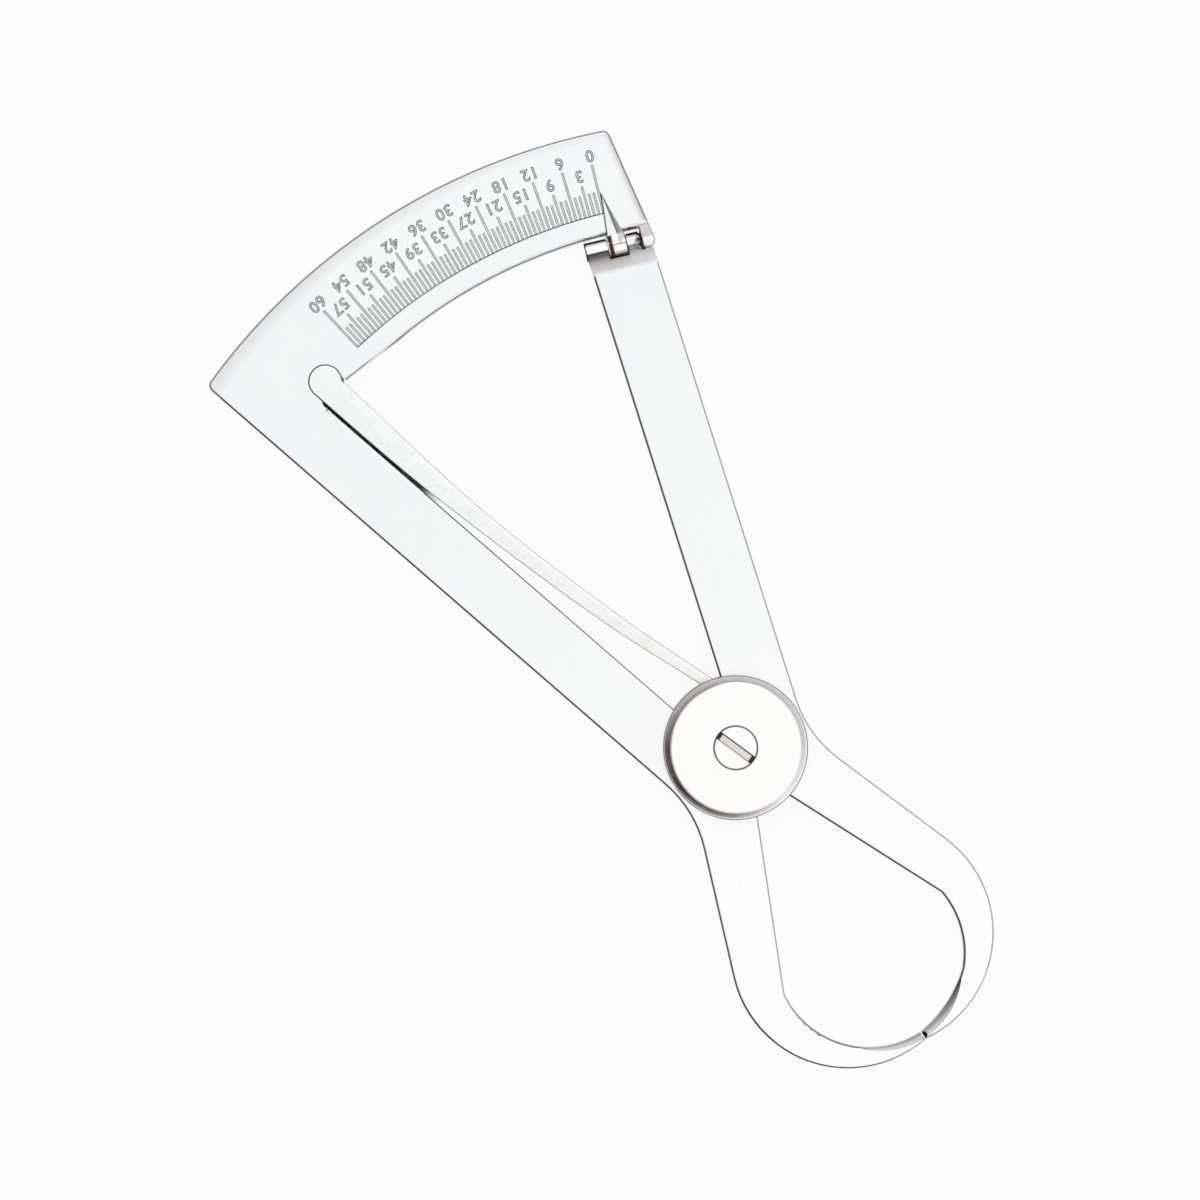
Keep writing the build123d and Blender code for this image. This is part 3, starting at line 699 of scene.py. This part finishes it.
class GAUGE_OT_scale_marks(bpy.types.Operator):
    """Line the engraved marks with painted wall shade at each side and a grey middle, and draw the
    arc they stand on
    """
    bl_idname = "gauge.scale_marks"
    bl_label = "Scale marks"

    def execute(self, context):
        sizes = context.scene.gauge_sizes
        height = PLATE_FRONT + MARK_LIFT
        shape = bmesh.new()
        for step in range(SCALE_STEPS + 1):
            length = (LONG_MARK if step % LONG_MARK_EVERY == 0 else
                      MIDDLE_MARK if step % NUMERAL_EVERY == 0 else SHORT_MARK)
            mark = bmesh.ops.create_grid(shape, x_segments=1, y_segments=1, size=0.5)["verts"]
            turn = Matrix.Rotation(radians(SCALE_ZERO_ANGLE + step * SCALE_STEP_ANGLE), 4, "Z")
            outward = Matrix.Translation((SCALE_BASE_RADIUS + length / 2, 0, height))
            stretch = Matrix.Diagonal((length, sizes.mark_width, 1, 1))
            bmesh.ops.transform(shape, matrix=turn @ outward @ stretch, verts=mark)
        floors = list(shape.faces)
        bmesh.ops.inset_individual(shape, faces=floors, thickness=sizes.mark_edge, depth=0)
        for face in floors:
            face.material_index = 1
        self.base_line(shape, sizes.base_line, height)
        piece = finished("scale_marks", shape, "scale_body")
        for face in piece.data.polygons:
            if face.normal.z < 0:
                face.flip()
        dress(piece, blackened_engraving, worn_mark_floor)
        return {"FINISHED"}

    def base_line(self, shape, width, height):
        """Spins a short edge along the scale, from its zero to its last mark."""
        ends = [shape.verts.new((SCALE_BASE_RADIUS + side * width / 2, 0, height))
                for side in (-1, 1)]
        edge = shape.edges.new(ends)
        to_zero = Matrix.Rotation(radians(SCALE_ZERO_ANGLE), 3, "Z")
        bmesh.ops.rotate(shape, cent=(0, 0, 0), matrix=to_zero, verts=ends)
        bmesh.ops.spin(shape, geom=[*ends, edge], cent=(0, 0, 0), axis=(0, 0, 1),
                       angle=radians(SCALE_STEPS * SCALE_STEP_ANGLE), steps=SCALE_STEPS,
                       use_duplicate=False)


class GAUGE_OT_scale_numerals(bpy.types.Operator):
    """Set the numerals of the scale in two rows, their strokes drawn in outline as painted wall
    shade
    """
    bl_idname = "gauge.scale_numerals"
    bl_label = "Scale numerals"

    def execute(self, context):
        sizes = context.scene.gauge_sizes
        shape = bmesh.new()
        for number in range(0, SCALE_STEPS + 1, NUMERAL_EVERY):
            text = bpy.data.curves.new(f"numeral_{number}", "FONT")
            text.body = str(number)
            text.align_x = "CENTER"
            text.align_y = "CENTER"
            text.size = sizes.numeral_height / DIGIT_HEIGHT
            text.fill_mode = "NONE"
            text.resolution_u = 4
            text.bevel_depth = sizes.numeral_line
            text.bevel_resolution = 0
            text.space_character = DIGIT_SPACING
            holder = bpy.data.objects.new(text.name, text)
            context.scene.collection.objects.link(holder)
            context.view_layer.update()
            outlined = holder.evaluated_get(context.evaluated_depsgraph_get())
            letters = bpy.data.meshes.new_from_object(outlined)
            radius = (OUTER_NUMERAL_RADIUS if number % LONG_MARK_EVERY == 0 else
                      INNER_NUMERAL_RADIUS)
            # The numerals' feet point outwards
            angle = SCALE_ZERO_ANGLE + number * SCALE_STEP_ANGLE + 90
            turn = Matrix.Rotation(radians(angle), 4, "Z")
            outward = Matrix.Translation((0, -radius, PLATE_FRONT))
            flatten = Matrix.Diagonal((1, 1, STROKE_FLATNESS, 1))
            letters.transform(turn @ outward @ flatten)
            shape.from_mesh(letters)
            bpy.data.objects.remove(holder)
            bpy.data.curves.remove(text)
            bpy.data.meshes.remove(letters)
        piece = finished("scale_numerals", shape, "scale_body")
        dress(piece, blackened_engraving)
        return {"FINISHED"}


class GAUGE_OT_return_spring(bpy.types.Operator):
    """Divide the spring's blade across its run, which bends from the sector's notch to the pointer
    arm's hub
    """
    bl_idname = "gauge.return_spring"
    bl_label = "Return spring"

    def execute(self, context):
        shape = merged_copy("return_spring")
        run = Vector((cos(radians(SPRING_RUN_ANGLE)), sin(radians(SPRING_RUN_ANGLE)), 0))
        for step in SPRING_DIVISIONS:
            geometry = shape.verts[:] + shape.edges[:] + shape.faces[:]
            bmesh.ops.bisect_plane(shape, geom=geometry, dist=CUT_TOLERANCE,
                                   plane_co=run * step * MM, plane_no=run)
        piece = finished("spring_blade", shape, None, smooth_angle=35)
        dress(piece, tumbled_spring_steel)
        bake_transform(piece)
        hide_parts("return_spring")
        return {"FINISHED"}


class GAUGE_OT_front_cap(bpy.types.Operator):
    """Turn the front cap with its rounded shoulder and the seat of the screw's head"""
    bl_idname = "gauge.front_cap"
    bl_label = "Front cap"

    def execute(self, context):
        sizes = context.scene.gauge_sizes
        seat_radius = SCREW_RADIUS + HEAD_GAP
        seat = CAP_FRONT - SEAT_DEPTH
        shoulder_top = (CAP_RADIUS - sizes.shoulder, CAP_FRONT)
        shoulder_foot = (CAP_RADIUS, CAP_FRONT - sizes.shoulder_drop)
        profile = [
            (CAP_HOLE_RADIUS, seat), (seat_radius, seat), (seat_radius, CAP_FRONT - SEAT_CHAMFER),
            (seat_radius + SEAT_CHAMFER, CAP_FRONT), shoulder_top, shoulder_foot,
            (CAP_RADIUS, CAP_REAR), (CAP_HOLE_RADIUS, CAP_REAR),
        ]
        shape = bmesh.new()
        ring = [shape.verts.new((x, 0, z)) for x, z in profile]
        edges = [shape.edges.new((ring[i], ring[(i + 1) % len(ring)])) for i in range(len(ring))]
        bmesh.ops.spin(shape, geom=ring + edges, cent=(0, 0, 0), axis=(0, 0, 1), angle=2 * pi,
                       steps=CAP_STEPS, use_merge=True)
        bmesh.ops.remove_doubles(shape, verts=shape.verts, dist=MERGE_DISTANCE)
        soft = [edge for edge in shape.edges
                if self.on_ring(edge, shoulder_top) or self.on_ring(edge, shoulder_foot)]
        bmesh.ops.bevel(shape, geom=soft, offset=SHOULDER_SOFTENING, offset_type="OFFSET",
                        segments=5, profile=0.5, affect="EDGES", material=-1)
        piece = finished("front_cap_shell", shape, "scale_body",
                         smooth_angle=30)
        dress(piece, polished_nickel_cap)
        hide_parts("front_cap")
        return {"FINISHED"}

    def on_ring(self, edge, corner):
        """Whether both ends of an edge lie on the ring that a corner of the profile spun."""
        places = [Vector((vert.co.xy.length, vert.co.z)) for vert in edge.verts]
        return all((place - Vector(corner)).length < RING_TOLERANCE for place in places)


class GAUGE_OT_pivot_screw(bpy.types.Operator):
    """Break the edges of the slotted screw's head"""
    bl_idname = "gauge.pivot_screw"
    bl_label = "Pivot screw"

    def execute(self, context):
        sizes = context.scene.gauge_sizes
        shape = merged_copy("pivot_screw")
        bmesh.ops.dissolve_limit(shape, angle_limit=radians(FLAT_ANGLE), verts=shape.verts,
                                 edges=shape.edges)
        sharp = [edge for edge in shape.edges
                 if len(edge.link_faces) == 2 and edge.calc_face_angle() > radians(SHARP_ANGLE)
                 and min(v.co.z for v in edge.verts) > CAP_FRONT - HEAD_EDGE_DEPTH]
        bmesh.ops.bevel(shape, geom=sharp, offset=sizes.screw_edge, offset_type="OFFSET",
                        segments=2, profile=0.5, affect="EDGES", material=-1)
        bmesh.ops.triangulate(shape, faces=shape.faces)
        piece = finished("screw_head", shape, "scale_body")
        dress(piece, polished_nickel_screw)
        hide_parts("pivot_screw")
        return {"FINISHED"}


def stage_material(name):
    """A material with no shader yet, and its output."""
    material = bpy.data.materials.new(name)
    material.use_nodes = True
    tree = material.node_tree
    tree.nodes.remove(tree.nodes["Principled BSDF"])
    return material, tree, tree.nodes["Material Output"]


def staged(name, shape, material):
    """Turns a bmesh into a part of the stage with its material."""
    mesh = bpy.data.meshes.new(name)
    shape.to_mesh(mesh)
    shape.free()
    mesh.materials.append(material)
    thing = bpy.data.objects.new(name, mesh)
    bpy.context.scene.collection.objects.link(thing)
    return thing


class GAUGE_OT_stage(bpy.types.Operator):
    """Set the pale floor, the soft light, and the camera where the photograph was taken"""
    bl_idname = "gauge.stage"
    bl_label = "Stage"

    def execute(self, context):
        stage = context.scene.gauge_stage
        self.world(context, stage)
        self.floor(stage)
        self.key_lamp(context, stage)
        if stage.curtain:
            self.curtain()
        self.camera(context)
        context.scene.view_settings.view_transform = "Standard"
        return {"FINISHED"}

    def seen_directly(self, tree):
        """1 where the camera, polished metal or glass looks, and 0 for the scattered light."""
        path = add(tree, "ShaderNodeLightPath").outputs
        return where_any(tree, path["Is Camera Ray"], path["Is Glossy Ray"],
                         path["Is Transmission Ray"])

    def world(self, context, stage):
        """An even white surround, full white where the camera and the polished metal see it."""
        world = bpy.data.worlds.new("soft_surround")
        world.use_nodes = True
        context.scene.world = world
        tree = world.node_tree
        strength = add(tree, "ShaderNodeMapRange", {
            "Value": self.seen_directly(tree), "To Min": stage.world_strength, "To Max": 1.0,
        })
        feed(tree, tree.nodes["Background"], {
            "Color": (1, 1, 1, 1), "Strength": strength.outputs["Result"],
        })

    def floor(self, stage):
        """A white floor as bright as the background, keeping part of the object's shadow, and
        painted near-black as shadow in three gaps.
        """
        shape = bmesh.new()
        bmesh.ops.create_grid(shape, x_segments=1, y_segments=1, size=FLOOR_REACH)
        bmesh.ops.translate(shape, vec=(0, 0, -FLOOR_DROP), verts=shape.verts)
        material, tree, output = stage_material("white_paper_floor")
        open_sky = add(tree, "ShaderNodeAmbientOcclusion", {"Distance": GAP_REACH}, samples=8)
        closed = graded(tree, open_sky.outputs["AO"], (0.25, 1.0), (0.45, 0.0))
        # The paper is painted near-black as shadow where it is closed in, in the gaps round the
        # spring's head, along its slit and about the pointer's knuckle. Light reaches the paper in
        # the others.
        place = add(tree, "ShaderNodeTexCoord")
        right_of_slit, along_slit = from_place(tree, place, SLIT, SLIT_TURN)
        right, beyond = from_place(tree, place, HINGE, HINGE_TURN)
        dark = where_any(
            tree, graded(tree, reach_from(tree, place, SPRING_HEAD), (1.75, 1.0), (1.85, 0.0)),
            where_all(
                tree, graded(tree, right_of_slit, (-1.0, 0.0), (-0.9, 1.0), (0.12, 1.0),
                             (0.3, 0.0)),
                graded(tree, along_slit, (-8.5, 0.0), (-6.0, 1.0), (8.0, 1.0), (8.2, 0.0))),
            where_all(
                tree, graded(tree, right, (-1.3, 0.0), (-1.2, 1.0), (2.7, 1.0), (2.8, 0.0)),
                graded(tree, beyond, (-1.6, 0.0), (-1.5, 1.0), (0.85, 1.0), (0.95, 0.0))))
        open_enough = add(tree, "ShaderNodeMath", {0: 1.0, 1: where_all(tree, closed, dark)},
                          operation="SUBTRACT").outputs[0]
        whiteness = layered(tree, rgba("#0A0909"), (open_enough, "#FBFBFB"))
        paper = add(tree, "ShaderNodeBsdfDiffuse", {"Color": whiteness})
        glow = add(tree, "ShaderNodeEmission", {"Color": (1, 1, 1, 1), "Strength": 1.0})
        glowing = where_all(tree, self.seen_directly(tree), open_enough, 1 - stage.floor_shadow)
        both = add(tree, "ShaderNodeMixShader", {
            0: glowing, 1: paper.outputs[0], 2: glow.outputs[0],
        })
        feed(tree, output, {"Surface": both.outputs[0]})
        staged("floor", shape, material)

    def key_lamp(self, context, stage):
        """A large soft lamp above the photograph's upper right."""
        data = bpy.data.lights.new("key_lamp", "AREA")
        data.energy = stage.key_power
        data.shape = "SQUARE"
        data.size = KEY_LAMP_SIDE
        lamp = bpy.data.objects.new("key_lamp", data)
        lamp.location = KEY_LAMP_PLACE
        lamp.rotation_euler = (KEY_LAMP_AIM - KEY_LAMP_PLACE).to_track_quat("-Z", "Y").to_euler()
        context.scene.collection.objects.link(lamp)

    def curtain(self):
        """A ring of brown gauze out of the camera's sight, thick at the lower left."""
        shape = bmesh.new()
        rim = bmesh.ops.create_circle(shape, cap_ends=False, segments=CURTAIN_STEPS,
                                      radius=CURTAIN_RADIUS)["verts"]
        bmesh.ops.translate(shape, vec=(0, 0, CURTAIN_FOOT), verts=rim)
        raised = bmesh.ops.extrude_edge_only(shape, edges=shape.edges[:])["geom"]
        bmesh.ops.translate(shape, vec=(0, 0, CURTAIN_HEIGHT),
                            verts=[v for v in raised if isinstance(v, bmesh.types.BMVert)])
        material, tree, output = stage_material("brown_gauze")
        place = add(tree, "ShaderNodeTexCoord")
        turned = add(tree, "ShaderNodeMapping", {
            "Vector": place.outputs["Object"], "Rotation": (0, 0, radians(CURTAIN_TURN)),
        }, vector_type="TEXTURE")
        round_set = add(tree, "ShaderNodeTexGradient", {"Vector": turned.outputs["Vector"]},
                        gradient_type="RADIAL")
        # From the lower right of the photograph anticlockwise: right, upper right, up, upper left,
        # left, lower left, down and lower right again
        thickness = add(tree, "ShaderNodeValToRGB", {"Fac": round_set.outputs["Fac"]}, stops=(
            (0.0, 0.15), (0.125, 0.42), (0.25, 0.45), (0.375, 0.5), (0.5, 0.6), (0.625, 0.96),
            (0.75, 1.0), (0.875, 0.8), (1.0, 0.15)))
        cloth = add(tree, "ShaderNodeBsdfDiffuse", {"Color": rgba("#4A3532")})
        clear = add(tree, "ShaderNodeBsdfTransparent")
        both = add(tree, "ShaderNodeMixShader", {
            0: thickness.outputs["Color"], 1: clear.outputs[0], 2: cloth.outputs[0],
        })
        feed(tree, output, {"Surface": both.outputs[0]})
        curtain = staged("curtain", shape, material)
        curtain.visible_camera = False
        curtain.visible_shadow = False
        curtain.visible_diffuse = False

    def camera(self, context):
        """A long lens straight above the gauge, with the photograph's upward side up."""
        data = bpy.data.cameras.new("camera")
        data.sensor_width = SENSOR_WIDTH
        data.lens = LENS
        data.clip_start = 0.01
        data.clip_end = 10
        camera = bpy.data.objects.new("camera", data)
        distance = PICTURE_WIDTH * LENS / SENSOR_WIDTH
        camera.location = PICTURE_CENTRE + Vector((0, 0, PLATE_FRONT + distance))
        camera.rotation_euler = (0, 0, radians(PICTURE_UP_ANGLE - 90))
        context.scene.collection.objects.link(camera)
        context.scene.camera = camera


class GAUGE_PT_panel(bpy.types.Panel):
    """The gauge's settings and steps."""
    bl_label = "Diamond gauge"
    bl_idname = "GAUGE_PT_panel"
    bl_space_type = "VIEW_3D"
    bl_region_type = "UI"
    bl_category = "Gauge"

    def draw(self, context):
        scene = context.scene
        for group in (scene.gauge_sizes, scene.gauge_colours, scene.gauge_stage):
            box = self.layout.box()
            for name in group.__annotations__:
                box.prop(group, name)
        for operator in OPERATORS:
            self.layout.operator(operator.bl_idname)


OPERATORS = (
    GAUGE_OT_cad_finishes,
    GAUGE_OT_scale_marks,
    GAUGE_OT_scale_numerals,
    GAUGE_OT_return_spring,
    GAUGE_OT_front_cap,
    GAUGE_OT_pivot_screw,
    GAUGE_OT_stage,
)
CLASSES = (GaugeSizes, GaugeColours, StageSettings, *OPERATORS, GAUGE_PT_panel)


def register():
    for cls in CLASSES:
        bpy.utils.register_class(cls)
    bpy.types.Scene.gauge_sizes = PointerProperty(type=GaugeSizes)
    bpy.types.Scene.gauge_colours = PointerProperty(type=GaugeColours)
    bpy.types.Scene.gauge_stage = PointerProperty(type=StageSettings)


def unregister():
    del bpy.types.Scene.gauge_sizes
    del bpy.types.Scene.gauge_colours
    del bpy.types.Scene.gauge_stage
    for cls in reversed(CLASSES):
        bpy.utils.unregister_class(cls)


def main():
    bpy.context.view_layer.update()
    register()
    bpy.ops.gauge.cad_finishes()
    bpy.ops.gauge.scale_marks()
    bpy.ops.gauge.scale_numerals()
    bpy.ops.gauge.return_spring()
    bpy.ops.gauge.front_cap()
    bpy.ops.gauge.pivot_screw()
    bpy.ops.gauge.stage()
    bpy.context.view_layer.update()


if __name__ == "__main__":
    main()
